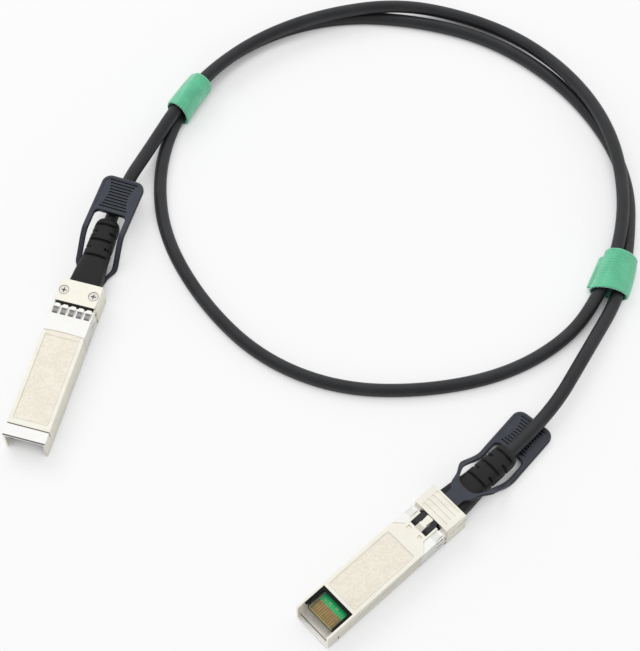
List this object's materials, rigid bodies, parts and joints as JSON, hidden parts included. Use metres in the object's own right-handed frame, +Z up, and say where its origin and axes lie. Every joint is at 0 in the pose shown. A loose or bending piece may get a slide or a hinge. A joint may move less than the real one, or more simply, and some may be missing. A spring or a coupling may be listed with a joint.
{
  "type": "direct attach copper cable",
  "caption": "Coiled twinax cable with a pluggable metal-shelled module, strain relief boot and sliding pull tab at each end, bundled with hook-and-loop wraps.",
  "frame": {"origin": "middle of the underside of the first plug's hood, on the surface that the part rests on", "axes": "-Y is the way the first plug points into its host, +Z is up from the surface, +X is across the first plug towards the ring of cable"},
  "size_m": [0.1741, 0.2311, 0.0109],
  "materials": {
    "nickel_shell": "satin nickel plated die casting",
    "screw_steel": "zinc plated",
    "collar_sheet": "bright plated spring sheet",
    "card_laminate": "solder mask",
    "contact_gold": "gold plated",
    "component_black": "moulded package",
    "wire_insulation": "foamed insulation",
    "boot_rubber": "matte",
    "spring_steel": "plain",
    "tab_plastic": "moulded, slightly glossy",
    "cable_jacket": "smooth, soft sheen",
    "hook_and_loop": "ribbed hook side outside"
  },
  "bodies": {
    "cable_assembly": {"plug_a_lower_shell": "nickel_shell", "plug_a_upper_shell": "nickel_shell", "plug_a_rear_cover": "nickel_shell", "plug_a_cover_screws": "screw_steel", "plug_a_emi_collar": "collar_sheet", "plug_a_paddle_card": "card_laminate", "plug_a_contact_pads": "contact_gold", "plug_a_card_components": "component_black", "plug_a_signal_wires": "wire_insulation", "plug_a_crimp_ferrule": "collar_sheet", "plug_a_strain_relief_boot": "boot_rubber", "plug_a_return_springs": "spring_steel", "plug_b_lower_shell": "nickel_shell", "plug_b_upper_shell": "nickel_shell", "plug_b_rear_cover": "nickel_shell", "plug_b_cover_screws": "screw_steel", "plug_b_emi_collar": "collar_sheet", "plug_b_paddle_card": "card_laminate", "plug_b_contact_pads": "contact_gold", "plug_b_card_components": "component_black", "plug_b_signal_wires": "wire_insulation", "plug_b_crimp_ferrule": "collar_sheet", "plug_b_strain_relief_boot": "boot_rubber", "plug_b_return_springs": "spring_steel", "twinax_cable": "cable_jacket", "cable_tie_left": "hook_and_loop", "cable_tie_right": "hook_and_loop"},
    "pull_tab_a": {"plug_a_pull_tab": "tab_plastic"},
    "pull_tab_b": {"plug_b_pull_tab": "tab_plastic"}
  },
  "joints": [
    {"name": "pull_tab_a_slide", "type": "slide", "parent": "cable_assembly", "child": "pull_tab_a", "axis": [0, 1, 0], "range_m": [0, 0.0028], "stiffness_N_per_m": 400, "deforming": ["plug_a_return_springs"]},
    {"name": "pull_tab_b_slide", "type": "slide", "parent": "cable_assembly", "child": "pull_tab_b", "axis": [0.5255, 0.8508, 0], "range_m": [0, 0.0028], "stiffness_N_per_m": 400, "deforming": ["plug_b_return_springs"]}
  ]
}
